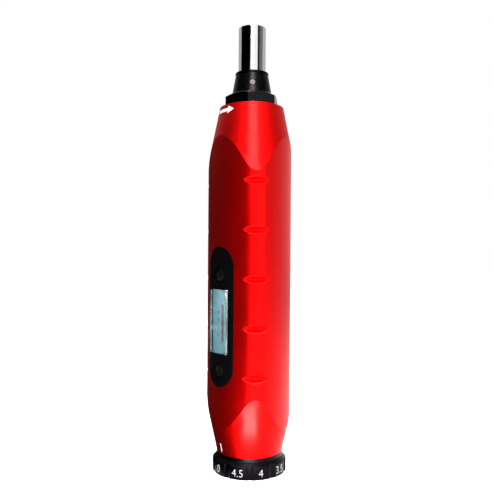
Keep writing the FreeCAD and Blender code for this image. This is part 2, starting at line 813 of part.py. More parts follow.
def make_drive_cam():
    """The turning cam, pinned to the shaft, with ramps that match the pressure cam's."""
    body = new_body("drive_cam")
    outer = "(bore_radius - drive_cam_gap)"
    base = new_sketch(body, "XY_Plane", DRIVE_CAM_VALLEY)
    ring(base, "shaft_radius", outer)
    pad(body, base, "cam_base_height")
    helical_ramp(body, DRIVE_CAM_CREST, outer, "rear")
    cross_hole(body, "cam_pin_radius", CAM_PIN_HEIGHT, "4 * bore_radius")
    return body


CAM_PIN_HEIGHT = f"(({DRIVE_CAM_FRONT} + {DRIVE_CAM_VALLEY}) / 2)"


def make_guide_pins():
    """Two pins laid half in the housing and half in the pressure cam's grooves."""
    body = new_body("guide_pins")
    rear = f"({PRESSURE_CAM_VALLEY} - guide_pin_stop - guide_pin_length)"
    sketch = new_sketch(body, "XY_Plane", rear)
    for side in ("-", ""):
        circle(sketch, "guide_pin_radius", f"{side}bore_radius", "0")
    pad(body, sketch, "guide_pin_length")
    return body


def make_drive_shaft():
    """The shaft from the pressure cam's pilot bore to the bit socket."""
    body = round_bar("drive_shaft", "shaft_radius", SHAFT_REAR, SHAFT_FRONT)
    cross_hole(body, "cam_pin_radius", CAM_PIN_HEIGHT, "4 * shaft_radius")
    cross_hole(body, "socket_pin_radius", SOCKET_PIN_HEIGHT, "4 * shaft_radius")
    return body


SOCKET_PIN_HEIGHT = f"({SOCKET_REAR} + socket_pin_height)"


def make_thrust_cage():
    """The brass cage, with a pocket for each roller."""
    body = new_body("thrust_cage")
    low = f"{ROLLER_MIDDLE} - cage_thickness / 2"
    outer = "(roller_inner_radius + roller_length + cage_rim)"
    sketch = new_sketch(body, "XY_Plane", low)
    ring(sketch, "roller_inner_radius - cage_rim", outer)
    pad(body, sketch, "cage_thickness")
    opening = new_sketch(body, "XY_Plane", low)
    near = "roller_inner_radius - running_clearance"
    far = "roller_inner_radius + roller_length + running_clearance"
    half = "(roller_radius + running_clearance)"
    rectangle(opening, near, far, f"-{half}", half)
    hole = pocket(body, opening, "cage_thickness", along_normal=True)
    repeat_round(body, hole, "roller_count")
    return body


def make_thrust_rollers():
    """The bearing's rollers, laid out like spokes."""
    body = new_body("thrust_rollers")
    sketch = new_sketch(body, "YZ_Plane", "roller_inner_radius")
    circle(sketch, "roller_radius", "0", ROLLER_MIDDLE)
    roller = pad(body, sketch, "roller_length")
    repeat_round(body, roller, "roller_count")
    return body


def make_front_nut():
    """The nose: a hexagon with a threaded spigot behind it and a tapered boss in front."""
    body = new_body("front_nut")
    turn_up(
        body,
        [
            ("0", NUT_REAR),
            ("front_thread_radius", NUT_REAR),
            ("front_thread_radius", RIM_FRONT),
            ("boss_radius", RIM_FRONT),
            ("boss_radius", NUT_FRONT),
            ("boss_tip_radius", BOSS_FRONT),
            ("boss_step_radius", BOSS_FRONT),
            ("boss_step_radius", NOSE_END),
            ("0", NOSE_END),
        ],
    )
    hexagon_sketch = new_sketch(body, "XY_Plane", RIM_FRONT)
    hexagon(hexagon_sketch, "nut_flats", "nut_turn")
    pad(body, hexagon_sketch, "nut_height")
    far = "nut_flats"
    chamfer_slope = "(nut_chamfer_height / (nut_flats / 2 / cos(30) - nut_chamfer_radius))"
    chamfer_end = f"{NUT_FRONT} - ({far} - nut_chamfer_radius) * {chamfer_slope}"
    turn_away(body, [("nut_chamfer_radius", NUT_FRONT), (far, chamfer_end), (far, NUT_FRONT)])
    mouth = "(socket_radius + running_clearance)"
    seat = f"({mouth} + bush_wall)"
    turn_away(
        body,
        [
            ("0", NUT_REAR),
            (seat, NUT_REAR),
            (seat, BUSH_FRONT),
            (f"{mouth} + running_clearance", BUSH_FRONT),
            (f"{mouth} + running_clearance", NOSE_END),
            ("0", NOSE_END),
        ],
    )
    radial_hole(body, "nose_screw_radius", "nose_screw_turn", NOSE_SCREW_HEIGHT, "2 * boss_radius")
    return body


NOSE_SCREW_HEIGHT = f"({NUT_FRONT} + nose_screw_height)"
NOSE_BUSH_OUTER = "(socket_radius + running_clearance + bush_wall)"


def make_nose_grub_screw():
    """The grub screw in the boss, from the bush to just below the boss's skin."""
    body = new_body("nose_grub_screw")
    sketch = radial_sketch(body, "nose_screw_turn")
    circle(sketch, "nose_screw_radius", "0", NOSE_SCREW_HEIGHT)
    pad(body, sketch, "(boss_radius + boss_tip_radius) / 2 - nose_screw_recess")
    low = f"{NOSE_SCREW_HEIGHT} - 2 * nose_screw_radius"
    high = f"{NOSE_SCREW_HEIGHT} + 2 * nose_screw_radius"
    turn_away(body, [("0", low), (NOSE_BUSH_OUTER, low), (NOSE_BUSH_OUTER, high), ("0", high)])
    return body


def make_bit_socket():
    """The chrome bit holder: a hexagon socket in front, a bore for the shaft behind."""
    body = new_body("bit_socket")
    groove_rear = f"({SNAP_RING_REAR} - snap_ring_fit)"
    groove_front = f"({SNAP_RING_REAR} + snap_ring_thickness + snap_ring_fit)"
    turn_up(
        body,
        [
            ("shaft_radius", SOCKET_REAR),
            ("socket_radius", SOCKET_REAR),
            ("socket_radius", groove_rear),
            ("snap_ring_groove", groove_rear),
            ("snap_ring_groove", groove_front),
            ("socket_radius", groove_front),
            ("socket_radius", f"{SOCKET_MOUTH} - socket_edge_height"),
            ("socket_radius - socket_edge", SOCKET_MOUTH),
            ("0", SOCKET_MOUTH),
            ("0", SHAFT_FRONT),
            ("shaft_radius", SHAFT_FRONT),
        ],
    )
    socket = new_sketch(body, "XY_Plane", SOCKET_MOUTH)
    hexagon(socket, "hexagon_flats", "0")
    pocket(body, socket, "hexagon_depth")
    bottom = new_sketch(body, "XY_Plane", HEXAGON_BOTTOM)
    circle(bottom, "magnet_radius")
    pocket(body, bottom, "magnet_height")
    turn_away(
        body,
        [("0", CLIP_REAR), (CLIP_OUTER, CLIP_REAR), (CLIP_OUTER, CLIP_FRONT), ("0", CLIP_FRONT)],
    )
    cross_hole(body, "socket_pin_radius", SOCKET_PIN_HEIGHT, "4 * socket_radius")
    return body


# The clip lies in its groove, just clear of the hexagon's corners.
CLIP_OUTER = "(hexagon_flats / 2 / cos(30) + clip_wire_width)"
CLIP_FRONT = f"({SOCKET_MOUTH} - clip_depth)"
CLIP_REAR = f"({CLIP_FRONT} - clip_wire_width)"


def open_ring(label, inner, outer, rear, front, opening, turn):
    """A flat ring with a gap, swept round the axis by less than a full turn."""
    body = new_body(label)
    sketch = new_sketch(body, "XZ_Plane")
    rectangle(sketch, inner, outer, rear, front)
    feature = turned(body, "Revolution", sketch)
    bind(feature, "Angle", f"360 - {opening}")
    bind(body, "Placement.Rotation.Angle", turn)
    return body


def make_bit_clip():
    """The sprung ring that grips the bit."""
    inner = f"({CLIP_OUTER} - clip_wire_width)"
    return open_ring("bit_clip", inner, CLIP_OUTER, CLIP_REAR, CLIP_FRONT, "clip_gap_angle", "0")


def make_snap_ring():
    """The open ring in the socket's groove that keeps the socket in the nose."""
    front = f"({SNAP_RING_REAR} + snap_ring_thickness)"
    sizes = ("snap_ring_groove", "snap_ring_radius", SNAP_RING_REAR, front)
    return open_ring("snap_ring", *sizes, "snap_ring_opening", "snap_ring_turn")


def make_window_bezel():
    """The black plate let into the face: it follows the face's arch and holds the lens."""
    body = new_body("window_bezel")
    plate = new_sketch(body, "XZ_Plane", BEZEL_SEAT)
    stadium(plate, "bezel_width", "bezel_length", BEZEL_MIDDLE)
    pad(body, plate, "2 * bezel_thickness")
    arch = new_sketch(body, "YZ_Plane")
    start = Vector(value(FACE_ARC_OFFSET), 0, 0)
    upward = Vector(0, value("bezel_length"), 0)
    axis = arch.addGeometry(Part.LineSegment(start, start + upward), True)
    place_point(arch, axis, 1, FACE_ARC_OFFSET, "0")
    place_point(arch, axis, 2, FACE_ARC_OFFSET, "bezel_length")
    rectangle(arch, f"-{CLEAR_OF_GRIP}", "-face_reach", RIM_REAR, RIM_FRONT)
    turned(body, "Groove", arch, "Axis0")
    width = "(lens_width + 2 * bezel_fit)"
    length = "(lens_length + 2 * bezel_fit)"
    window_box(body, "cut", width, length, LENS_MIDDLE, BEZEL_SEAT, "corner_reach")
    window_screw_holes(body, SCREW_HEAD_SEAT, "screw_head_radius + bezel_fit", "corner_reach", into=False)
    window_screw_holes(body, SCREW_HEAD_SEAT, "window_screw_radius", "bezel_thickness")
    return body


SCREW_HEAD_SEAT = "(face_reach - screw_head_recess - screw_head_height)"


def make_window_screws():
    """Two cap screws that hold the bezel, each with a hexagon key recess."""
    body = new_body("window_screws")
    heads = new_sketch(body, "XZ_Plane", SCREW_HEAD_SEAT)
    shanks = new_sketch(body, "XZ_Plane", SCREW_HEAD_SEAT)
    keys = new_sketch(body, "XZ_Plane", f"{SCREW_HEAD_SEAT} + screw_head_height")
    for side in ("+", "-"):
        middle = f"{WINDOW_SCREW_MIDDLE} {side} window_screw_spacing / 2"
        circle(heads, "screw_head_radius", "0", middle)
        circle(shanks, "window_screw_radius", "0", middle)
        corner = "(screw_key_width / 2 / cos(30))"
        places = [
            (f"{corner} * cos({60 * step})", f"{middle} + {corner} * sin({60 * step})")
            for step in range(6)
        ]
        polygon(keys, places)
    pad(body, heads, "screw_head_height")
    length = f"{SCREW_HEAD_SEAT} - {BEZEL_SEAT} + window_screw_depth"
    pad(body, shanks, length, down=True)
    pocket(body, keys, "screw_key_depth")
    return body


def make_window_lens():
    """The clear block over the scale, with a flange that the bezel holds down."""
    body = new_body("window_lens")
    window_box(body, "add", FLANGE_WIDTH, FLANGE_LENGTH, LENS_MIDDLE, FLANGE_SEAT, "flange_thickness")
    depth = f"face_reach + lens_proud - {FLANGE_SEAT}"
    block = window_box(body, "add", "lens_width", "lens_length", LENS_MIDDLE, FLANGE_SEAT, depth)
    doc.recompute()
    top = -value("face_reach + lens_proud")
    edges = [
        f"Edge{number}"
        for number, edge in enumerate(block.Shape.Edges, start=1)
        if all(abs(vertex.Point.y - top) < 0.001 for vertex in edge.Vertexes)
    ]
    chamfer = body.newObject("PartDesign::Chamfer", "window_lens_edge")
    chamfer.Base = (block, edges)
    bind(chamfer, "Size", "lens_edge")
    return body


def make_scale_plate():
    """The plate that carries the printed scale, with the slot for the setting slide."""
    body = new_body("scale_plate")
    window_box(body, "add", FLANGE_WIDTH, FLANGE_LENGTH, LENS_MIDDLE, SCALE_SEAT, "scale_thickness")
    slot = new_sketch(body, "XZ_Plane", SCALE_SEAT)
    stadium(slot, "scale_slot_width", "scale_slot_length", SLOT_MIDDLE)
    pocket(body, slot, "2 * scale_thickness", along_normal=True)
    return body


pieces = [
    make_housing(),
    make_rear_bush(),
    flat_ring("drag_ring", "lead_radius + running_clearance", DRAG_RING_OUTER, DRAG_RING_REAR, DRAG_RING_FRONT),
    flat_ring("thrust_washer", "lead_radius + running_clearance", "washer_radius", REAR_BUSH_FRONT, WASHER_FRONT),
    make_guide_pins(),
    make_front_nut(),
    flat_ring("front_bush", "socket_radius + running_clearance", NOSE_BUSH_OUTER, NUT_REAR, BUSH_FRONT),
    make_nose_grub_screw(),
    flat_ring("thrust_race_front", "race_inner_radius", "bore_radius - slide_clearance", RACE_REAR, NUT_REAR),
    make_window_bezel(),
    make_window_screws(),
    make_window_lens(),
    make_scale_plate(),
    make_dial_ring(),
    make_lead_screw(),
    make_ring_grub_screws(),
    make_carriage_nut(),
    make_setting_slide(),
    make_slide_screws(),
    make_main_spring(),
    make_spring_seat(),
    make_pressure_cam(),
    make_drive_cam(),
    cross_bar("cam_pin", "cam_pin_radius", CAM_PIN_HEIGHT, "2 * (bore_radius - 2 * drive_cam_gap)"),
    flat_ring("thrust_race_rear", "shaft_radius", "bore_radius - drive_cam_gap", DRIVE_CAM_FRONT, RACE_FRONT),
    make_thrust_cage(),
    make_thrust_rollers(),
    make_drive_shaft(),
    make_bit_socket(),
    cross_bar("socket_pin", "socket_pin_radius", SOCKET_PIN_HEIGHT, "2 * (socket_radius - running_clearance)"),
    round_bar("bit_magnet", "magnet_radius", MAGNET_BOTTOM, HEXAGON_BOTTOM),
    make_bit_clip(),
    make_snap_ring(),
]

doc.recompute()
for item in doc.Objects:
    if "Invalid" in item.State or "Error" in item.State:
        raise RuntimeError(f"{item.Name} failed: {item.State}")
for piece in pieces:
    if piece.Shape.isNull() or not piece.Shape.isValid():
        raise RuntimeError(f"{piece.Label} has no valid shape")

os.makedirs("parts", exist_ok=True)
for piece in pieces:
    piece.Shape.exportStep(f"parts/{piece.Label}.step")
    box = piece.Shape.BoundBox
    print(
        f"{piece.Label:20s} solids {len(piece.Shape.Solids):3d} volume {piece.Shape.Volume:10.1f}"
        f"  x {box.XMin:7.2f} {box.XMax:7.2f}  y {box.YMin:7.2f} {box.YMax:7.2f}"
        f"  z {box.ZMin:7.2f} {box.ZMax:7.2f}"
    )
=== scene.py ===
# %% [markdown]
# # A torque screwdriver, dressed over its CAD frame
# The tool stands on its dial ring: a black fluted ring to set the torque, a red
# anodised handle with three flat sides and finger grips, a small window that
# shows the setting, a black nut and a chrome bit holder. The solids come from
# the CAD frame. This file gives them their finishes, adds the printed marks,
# and sets the light and the camera.

# %% Load the frame
import json
import math

import bmesh
import bpy
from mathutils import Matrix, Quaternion, Vector
from mathutils.bvhtree import BVHTree

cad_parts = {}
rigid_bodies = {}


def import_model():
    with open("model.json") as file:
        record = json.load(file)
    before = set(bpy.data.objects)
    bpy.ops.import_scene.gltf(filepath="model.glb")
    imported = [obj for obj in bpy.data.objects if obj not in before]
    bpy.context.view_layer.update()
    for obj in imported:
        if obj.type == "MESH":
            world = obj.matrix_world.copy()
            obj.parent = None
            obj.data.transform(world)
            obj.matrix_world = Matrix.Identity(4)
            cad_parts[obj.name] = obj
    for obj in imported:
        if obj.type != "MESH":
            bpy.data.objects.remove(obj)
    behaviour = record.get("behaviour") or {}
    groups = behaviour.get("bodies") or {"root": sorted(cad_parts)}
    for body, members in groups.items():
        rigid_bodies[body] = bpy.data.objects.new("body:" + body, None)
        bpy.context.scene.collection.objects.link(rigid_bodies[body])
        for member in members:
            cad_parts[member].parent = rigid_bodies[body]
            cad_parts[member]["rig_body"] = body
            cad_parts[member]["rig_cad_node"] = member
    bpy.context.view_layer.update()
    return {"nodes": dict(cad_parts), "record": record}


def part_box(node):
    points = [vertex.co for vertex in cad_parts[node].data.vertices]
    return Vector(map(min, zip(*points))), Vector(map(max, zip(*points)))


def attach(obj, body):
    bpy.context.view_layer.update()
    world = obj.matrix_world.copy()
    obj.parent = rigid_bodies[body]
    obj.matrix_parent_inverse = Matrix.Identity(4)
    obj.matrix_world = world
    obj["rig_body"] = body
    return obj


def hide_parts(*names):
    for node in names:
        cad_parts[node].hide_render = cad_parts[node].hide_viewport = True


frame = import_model()
NODES = frame["nodes"]
MM = 0.001

# %% [markdown]
# Everything on the tool is placed by its height and its azimuth, the angle
# round the axis counted from the window towards the right. Two small functions
# turn an azimuth into directions, so no place is worked out twice. Two more
# keep the selection clean, because an operator acts on all that is selected.

# %% Directions round the axis
def outwards(azimuth):
    """The direction away from the axis at an azimuth."""
    a = math.radians(azimuth)
    return Vector((math.sin(a), -math.cos(a), 0.0))


def sideways(azimuth):
    """The direction to the right, for someone who looks at that azimuth."""
    a = math.radians(azimuth)
    return Vector((math.cos(a), math.sin(a), 0.0))


def deselect():
    """Nothing is selected, so the next operator acts only on what it is given."""
    if bpy.context.object and bpy.context.object.mode != "OBJECT":
        bpy.ops.object.mode_set(mode="OBJECT")
    bpy.ops.object.select_all(action="DESELECT")


def select_only(piece):
    """One object is selected and active, so the next operator acts on it alone."""
    deselect()
    piece.select_set(True)
    bpy.context.view_layer.objects.active = piece


deselect()
print("window looks towards", tuple(outwards(0)))

# %% [markdown]
# The camera comes first, because every finish is judged through it. It stands
# a quarter of a metre from the axis, at about half the tool's height, and looks
# at the edge between the window side and the next side. A touch of roll makes
# the tool lean as a hand-held shot does.

# %% Camera
CAMERA_AZIMUTH = 53.2
CAMERA_DISTANCE = 256 * MM
CAMERA_HEIGHT = 87.5 * MM
CAMERA_ROLL = 0.42
AIM_LEFT = 1.75 * MM
HORIZON_SHIFT = 0.0274

camera_data = bpy.data.cameras.new("camera")
camera = bpy.data.objects.new("camera", camera_data)
bpy.context.scene.collection.objects.link(camera)
bpy.context.scene.camera = camera
camera_data.sensor_width = 36.0
camera_data.lens = 44.4
camera_data.shift_y = HORIZON_SHIFT
camera_data.clip_start = 0.01
camera_data.clip_end = 20.0
camera.location = outwards(CAMERA_AZIMUTH) * CAMERA_DISTANCE + Vector((0, 0, CAMERA_HEIGHT))
aim = Vector((0, 0, CAMERA_HEIGHT)) - sideways(CAMERA_AZIMUTH) * AIM_LEFT
camera.rotation_mode = "QUATERNION"
camera.rotation_quaternion = (aim - camera.location).to_track_quat("-Z", "Y") @ Quaternion(
    (0, 0, 1), math.radians(CAMERA_ROLL)
)
bpy.context.scene.view_settings.view_transform = "Standard"
print("camera at", [round(c, 4) for c in camera.location])

# %% [markdown]
# A material here is a Principled shader with its plain numbers set on its own
# sockets. What varies over the surface, such as the fine grain of a blasted
# and anodised skin, comes from noise in Object coordinates, so it stays on the
# part from every side.

# %% Helpers for materials
def new_material(name, colour, metallic=0.0, roughness=0.5):
    """A material and its Principled shader, with the plain numbers set."""
    material = bpy.data.materials.new(name)
    material.use_nodes = True
    shader = material.node_tree.nodes["Principled BSDF"]
    shader.inputs["Base Color"].default_value = (*colour, 1.0)
    shader.inputs["Metallic"].default_value = metallic
    shader.inputs["Roughness"].default_value = roughness
    return material, shader


def add_noise(material, scale, detail=3.0, stretch=(1.0, 1.0, 1.0)):
    """Noise over the surface in Object coordinates. Returns its value socket."""
    nodes, links = material.node_tree.nodes, material.node_tree.links
    place = nodes.new("ShaderNodeTexCoord")
    mapping = nodes.new("ShaderNodeMapping")
    mapping.inputs["Scale"].default_value = stretch
    noise = nodes.new("ShaderNodeTexNoise")
    noise.inputs["Scale"].default_value = scale
    noise.inputs["Detail"].default_value = detail
    links.new(place.outputs["Object"], mapping.inputs["Vector"])
    links.new(mapping.outputs["Vector"], noise.inputs["Vector"])
    return noise.outputs["Fac"]


def spread(material, value, low, high):
    """Maps a noise value to the range from low to high."""
    nodes, links = material.node_tree.nodes, material.node_tree.links
    span = nodes.new("ShaderNodeMapRange")
    span.inputs["From Min"].default_value = 0.3
    span.inputs["From Max"].default_value = 0.7
    span.inputs["To Min"].default_value = low
    span.inputs["To Max"].default_value = high
    links.new(value, span.inputs["Value"])
    return span.outputs["Result"]


def vary_roughness(material, shader, value, low, high):
    """Lets the roughness follow a noise value."""
    material.node_tree.links.new(
        spread(material, value, low, high), shader.inputs["Roughness"]
    )


def vary_colour(material, shader, value, dark, light):
    """Lets the colour follow a noise value, from dark to light."""
    nodes, links = material.node_tree.nodes, material.node_tree.links
    mix = nodes.new("ShaderNodeMix")
    mix.data_type = "RGBA"
    mix.inputs["A"].default_value = (*dark, 1.0)
    mix.inputs["B"].default_value = (*light, 1.0)
    links.new(spread(material, value, 0.0, 1.0), mix.inputs["Factor"])
    links.new(mix.outputs["Result"], shader.inputs["Base Color"])


def add_bump(material, shader, value, height, strength):
    """Lets a noise value raise the surface by up to a height."""
    nodes, links = material.node_tree.nodes, material.node_tree.links
    bump = nodes.new("ShaderNodeBump")
    bump.inputs["Strength"].default_value = strength
    bump.inputs["Distance"].default_value = height
    links.new(value, bump.inputs["Height"])
    links.new(bump.outputs["Normal"], shader.inputs["Normal"])


print("material helpers ready")

# %% [markdown]
# The handle is aluminium, blasted with fine beads and anodised red. The dye
# lets only red through, so the metal itself is almost pure red, and the clear
# oxide over it adds a thin white sheen. A fine grain breaks up the highlight.

# %% Red anodised aluminium
red_anodised, shader = new_material("red_anodised", (0.62, 0.0012, 0.0012), 1.0, 0.46)
shader.inputs["Coat Weight"].default_value = 0.06
shader.inputs["Coat Roughness"].default_value = 0.24
shader.inputs["Coat IOR"].default_value = 1.5
grain = add_noise(red_anodised, 5200.0, 2.0)
patches = add_noise(red_anodised, 70.0, 3.0)
vary_roughness(red_anodised, shader, patches, 0.44, 0.48)
add_bump(red_anodised, shader, grain, 0.012 * MM, 0.6)
print("made", red_anodised.name)

# %% [markdown]
# The nut, the ring and the plate are black, each in its own way: the nut is
# blackened steel with a satin face, the ring is black anodised aluminium, and
# the plate round the window is moulded plastic.

# %% Blacks
black_metal, shader = new_material("black_metal", (0.0065, 0.0058, 0.0068), 1.0, 0.26)
turning = add_noise(black_metal, 900.0, 3.0, (1.0, 1.0, 3.0))
vary_roughness(black_metal, shader, turning, 0.2, 0.34)
add_bump(black_metal, shader, turning, 0.004 * MM, 0.5)

black_ring, shader = new_material("black_ring", (0.006, 0.0062, 0.0075), 1.0, 0.34)
ring_grain = add_noise(black_ring, 2600.0, 3.0)
vary_roughness(black_ring, shader, ring_grain, 0.28, 0.42)
add_bump(black_ring, shader, ring_grain, 0.008 * MM, 0.5)

black_plate, shader = new_material("black_plate", (0.0012, 0.0012, 0.0014), 0.0, 0.42)
shader.inputs["Specular IOR Level"].default_value = 0.04
plate_grain = add_noise(black_plate, 1800.0, 3.0)
vary_roughness(black_plate, shader, plate_grain, 0.36, 0.5)
add_bump(black_plate, shader, plate_grain, 0.01 * MM, 0.5)

screw_steel, shader = new_material("screw_steel", (0.075, 0.068, 0.066), 1.0, 0.3)
screw_grain = add_noise(screw_steel, 1500.0, 2.0)
vary_roughness(screw_steel, shader, screw_grain, 0.24, 0.38)
print("made the blacks")

# %% [markdown]
# The bit holder is chromed steel. Chrome has almost no colour of its own, so
# it is what it mirrors: the white room, the dark cards and the strips of light.

# %% Chrome and inner metals
chrome, shader = new_material("chrome", (0.86, 0.86, 0.87), 1.0, 0.06)
wipe_marks = add_noise(chrome, 420.0, 4.0, (1.0, 1.0, 0.12))
vary_roughness(chrome, shader, wipe_marks, 0.04, 0.09)

steel, shader = new_material("steel", (0.55, 0.55, 0.57), 1.0, 0.3)
vary_roughness(steel, shader, add_noise(steel, 900.0, 3.0, (1, 1, 4)), 0.24, 0.38)

spring_steel, shader = new_material("spring_steel", (0.25, 0.25, 0.27), 1.0, 0.34)
vary_roughness(spring_steel, shader, add_noise(spring_steel, 700.0), 0.28, 0.42)

brass, shader = new_material("brass", (0.72, 0.5, 0.2), 1.0, 0.28)
vary_roughness(brass, shader, add_noise(brass, 800.0, 3.0, (1, 1, 4)), 0.22, 0.36)

rubber, shader = new_material("rubber", (0.02, 0.02, 0.02), 0.0, 0.7)
vary_roughness(rubber, shader, add_noise(rubber, 900.0), 0.6, 0.8)
print("made chrome and the inner metals")

# %% [markdown]
# The window is a block of clear acrylic, with a faint tint. Behind it lies a
# blue scale plate, and a red slide moves in the slot of the plate. The prints
# are thin inks, and a little noise keeps each from being one flat colour.

# %% Window materials
clear_lens, shader = new_material("clear_lens", (0.80, 0.94, 0.96), 0.0, 0.03)
shader.inputs["Transmission Weight"].default_value = 1.0
shader.inputs["IOR"].default_value = 1.49

scale_print, shader = new_material("scale_print", (0.20, 0.38, 0.44), 0.0, 0.45)
vary_colour(
    scale_print, shader, add_noise(scale_print, 500.0), (0.16, 0.33, 0.39), (0.24, 0.42, 0.48)
)

slide_red, shader = new_material("slide_red", (0.55, 0.05, 0.07), 0.0, 0.4)
vary_colour(slide_red, shader, add_noise(slide_red, 900.0), (0.5, 0.04, 0.06), (0.6, 0.06, 0.08))

white_print, shader = new_material("white_print", (0.6, 0.6, 0.6), 0.0, 0.55)
ink_grain = add_noise(white_print, 2500.0)
vary_colour(white_print, shader, ink_grain, (0.48, 0.48, 0.47), (0.62, 0.62, 0.61))

dark_print, shader = new_material("dark_print", (0.02, 0.035, 0.05), 0.0, 0.5)
ink_grain = add_noise(dark_print, 2500.0)
vary_colour(dark_print, shader, ink_grain, (0.015, 0.03, 0.04), (0.03, 0.05, 0.07))

mark_yellow, shader = new_material("mark_yellow", (0.62, 0.62, 0.12), 0.0, 0.4)
ink_grain = add_noise(mark_yellow, 2500.0)
vary_colour(mark_yellow, shader, ink_grain, (0.55, 0.55, 0.1), (0.68, 0.68, 0.16))
print("made the window materials")

# %% [markdown]
# Each CAD node takes the finish of its slot. The record says which slot a node
# has, so the finishes are handed out from there and none is forgotten.

# %% Hand out the finishes
FINISHES = {
    "red_anodised": red_anodised,
    "black_metal": black_metal,
    "black_ring": black_ring,
    "black_plate": black_plate,
    "chrome": chrome,
    "screw_steel": screw_steel,
    "clear_lens": clear_lens,
    "scale_print": scale_print,
    "slide_red": slide_red,
    "steel": steel,
    "spring_steel": spring_steel,
    "brass": brass,
    "rubber": rubber,
}
SLOT_OF = {part["node"]: part["material_slot"] for part in frame["record"]["subparts"]}
for name, node in NODES.items():
    finish = FINISHES[SLOT_OF[name]]
    if node.material_slots:
        for slot in node.material_slots:
            slot.material = finish
    else:
        node.data.materials.append(finish)
print("finished", len(NODES), "nodes")

# %% [markdown]
# A CAD mesh is loose triangles with flat shading, and a satin handle shows each
# of them. The parts that are seen are copied, their triangles joined, and
# shaded smooth up to a sharp angle. On the handle the cones meet the flats at a
# shallow angle, so there an edge is also sharp where the slope changes. Normals
# weighted by area keep the flats flat. The copy then stands for its node.

# %% Smooth copies of the parts that are seen
def sharpen_by_slope(piece, step):
    """Makes an edge sharp where the slopes of its two faces differ by a step."""
    shape = bmesh.new()
    shape.from_mesh(piece.data)
    for edge in shape.edges:
        if len(edge.link_faces) == 2:
            first, second = (face.normal.z for face in edge.link_faces)
            if abs(first - second) > step:
                edge.smooth = False
    shape.to_mesh(piece.data)
    shape.free()


def dress(node_name, body, angle=24.0, slope_step=None):
    """A joined, smoothly shaded copy of a node, which stands for it."""
    select_only(NODES[node_name])
    bpy.ops.object.duplicate()
    piece = bpy.context.object
    piece.name = node_name + "_skin"
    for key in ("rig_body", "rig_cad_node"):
        if key in piece:
            del piece[key]
    piece.parent = None
    piece.data = piece.data.copy()
    piece.data.name = piece.name
    bpy.ops.object.mode_set(mode="EDIT")
    bpy.ops.mesh.select_all(action="SELECT")
    bpy.ops.mesh.remove_doubles(threshold=0.000002)
    bpy.ops.object.mode_set(mode="OBJECT")
    if piece.data.has_custom_normals:
        bpy.ops.mesh.customdata_custom_splitnormals_clear()
    bpy.ops.object.shade_smooth_by_angle(angle=math.radians(angle))
    if slope_step:
        sharpen_by_slope(piece, slope_step)
    weighted = piece.modifiers.new("face_weights", "WEIGHTED_NORMAL")
    weighted.keep_sharp = True
    bpy.ops.object.modifier_apply(modifier=weighted.name)
    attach(piece, body)
    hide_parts(node_name)
    return piece


BODY_OF = {
    member: body
    for body, members in frame["record"]["behaviour"]["bodies"].items()
    for member in members
}
SEEN = (
    "housing",
    "dial_ring",
    "front_nut",
    "bit_socket",
    "snap_ring",
    "window_bezel",
    "nose_grub_screw",
    "ring_grub_screws",
)
SLOPE_STEPS = {"housing": 0.08}
skins = {
    name: dress(name, BODY_OF[name], slope_step=SLOPE_STEPS.get(name)) for name in SEEN
}
for name, skin in skins.items():
    print(name, "faces", len(skin.data.polygons))

# %% [markdown]
# The marks are thin prints. A number starts as flat text, becomes a mesh, is
# cut into narrow strips so that it can bend, and is then laid on the surface
# that carries it: across becomes the way round, and up stays up.

# %% Helpers for printed marks
PRINT_LIFT = 0.02 * MM
PRINT_THICKNESS = 0.03 * MM
STRIP_WIDTH = 0.5 * MM
CAPITAL_SHARE = 0.7  # how much of a font's size a numeral is high


def flat_text(name, text, height, stretch=1.0, font_weight=0.0):
    """Text as a flat mesh in the XY plane, centred on the origin."""
    deselect()
    bpy.ops.object.text_add(location=(0, 0, 0))
    piece = bpy.context.object
    piece.name = name
    piece.data.body = text
    piece.data.size = height / CAPITAL_SHARE
    piece.data.offset = font_weight * height / CAPITAL_SHARE
    piece.data.align_x = "CENTER"
    piece.data.resolution_u = 6
    bpy.ops.object.convert(target="MESH")
    piece = bpy.context.object
    piece.data.name = name
    low = [min(v.co[i] for v in piece.data.vertices) for i in range(2)]
    high = [max(v.co[i] for v in piece.data.vertices) for i in range(2)]
    middle = Vector(((low[0] + high[0]) / 2, (low[1] + high[1]) / 2, 0))
    scale = height / (high[1] - low[1])
    for vertex in piece.data.vertices:
        moved = (vertex.co - middle) * scale
        vertex.co = Vector((moved.x * stretch, moved.y, 0))
    return piece


def cut_in_strips(piece, pitch):
    """Cuts a flat mesh along upright lines, so that it can bend round."""
    select_only(piece)
    low = min(v.co.x for v in piece.data.vertices)
    high = max(v.co.x for v in piece.data.vertices)
    count = max(1, int((high - low) / pitch))
    bpy.ops.object.mode_set(mode="EDIT")
    for index in range(1, count + 1):
        bpy.ops.mesh.select_all(action="SELECT")
        bpy.ops.mesh.bisect(
            plane_co=(low + (high - low) * index / (count + 1), 0, 0),
            plane_no=(1, 0, 0),
        )
    bpy.ops.object.mode_set(mode="OBJECT")


def thicken(piece, thickness):
    """Gives a flat print its thickness, half to each side."""
    select_only(piece)
    bpy.ops.object.mode_set(mode="EDIT")
    bpy.ops.mesh.select_all(action="SELECT")
    bpy.ops.mesh.remove_doubles(threshold=0.000001)
    bpy.ops.mesh.normals_make_consistent(inside=False)
    bpy.ops.object.mode_set(mode="OBJECT")
    solid = piece.modifiers.new("print_thickness", "SOLIDIFY")
    solid.thickness = thickness
    solid.offset = 0.0
    bpy.ops.object.modifier_apply(modifier=solid.name)


def wrap_print(piece, azimuth, height, radius):
    """Lays a flat print on an upright round band, at an azimuth and a height."""
    for vertex in piece.data.vertices:
        angle = azimuth + math.degrees(vertex.co.x / radius)
        up = Vector((0, 0, height + vertex.co.y))
        vertex.co = outwards(angle) * (radius + PRINT_LIFT) + up
    piece.data.update()


